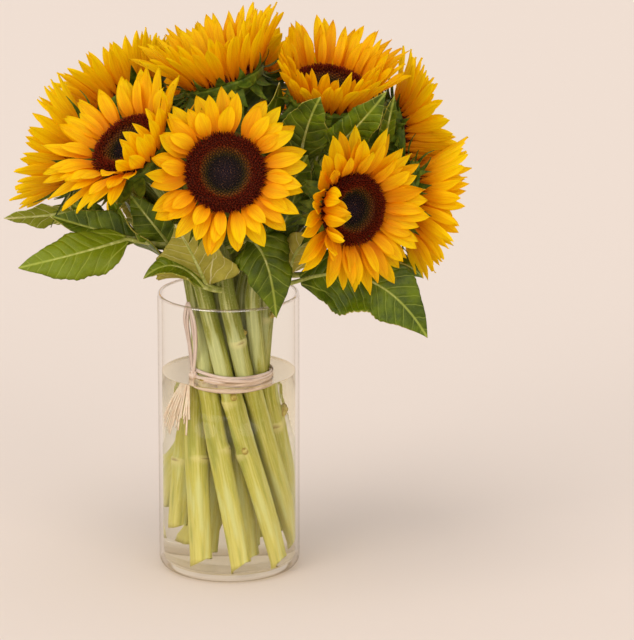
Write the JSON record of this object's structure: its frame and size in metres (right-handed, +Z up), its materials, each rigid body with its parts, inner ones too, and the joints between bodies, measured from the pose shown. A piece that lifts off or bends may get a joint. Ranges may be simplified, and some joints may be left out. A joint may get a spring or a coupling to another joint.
{
  "type": "sunflower bouquet in a glass vase",
  "caption": "Cut sunflowers with green leaves, tied with raffia and standing in a clear glass cylinder vase of water, for a table or shelf.",
  "frame": {"origin": "centre of the vase's flat foot, on the surface it stands on", "axes": "+Z up along the vase's axis; -Y is the front, which most of the blooms face; +X is to the right seen from the front"},
  "size_m": [0.3323, 0.2713, 0.4119],
  "materials": {
    "glass": "clear, smooth",
    "water": "clear water, faintly yellow-green",
    "raffia": "dry fibre, satin",
    "green": "living leaf and stem, soft and slightly hairy",
    "yellow": "soft petal, satin",
    "brown": "dense florets, matt and fuzzy"
  },
  "bodies": {
    "root": {"vase": "glass", "water": "water", "raffia_tie": "raffia", "leafy_stem_01": "green", "ray_petals_01": "yellow", "disc_01": "brown", "leafy_stem_02": "green", "ray_petals_02": "yellow", "disc_02": "brown", "leafy_stem_03": "green", "ray_petals_03": "yellow", "disc_03": "brown", "leafy_stem_04": "green", "ray_petals_04": "yellow", "disc_04": "brown", "leafy_stem_05": "green", "ray_petals_05": "yellow", "disc_05": "brown", "leafy_stem_06": "green", "ray_petals_06": "yellow", "disc_06": "brown", "leafy_stem_07": "green", "ray_petals_07": "yellow", "disc_07": "brown", "leafy_stem_08": "green", "ray_petals_08": "yellow", "disc_08": "brown", "leafy_stem_09": "green", "ray_petals_09": "yellow", "disc_09": "brown", "leafy_stem_10": "green", "ray_petals_10": "yellow", "disc_10": "brown", "leafy_stem_11": "green", "ray_petals_11": "yellow", "disc_11": "brown", "leafy_stem_12": "green", "ray_petals_12": "yellow", "disc_12": "brown"}
  },
  "joints": []
}
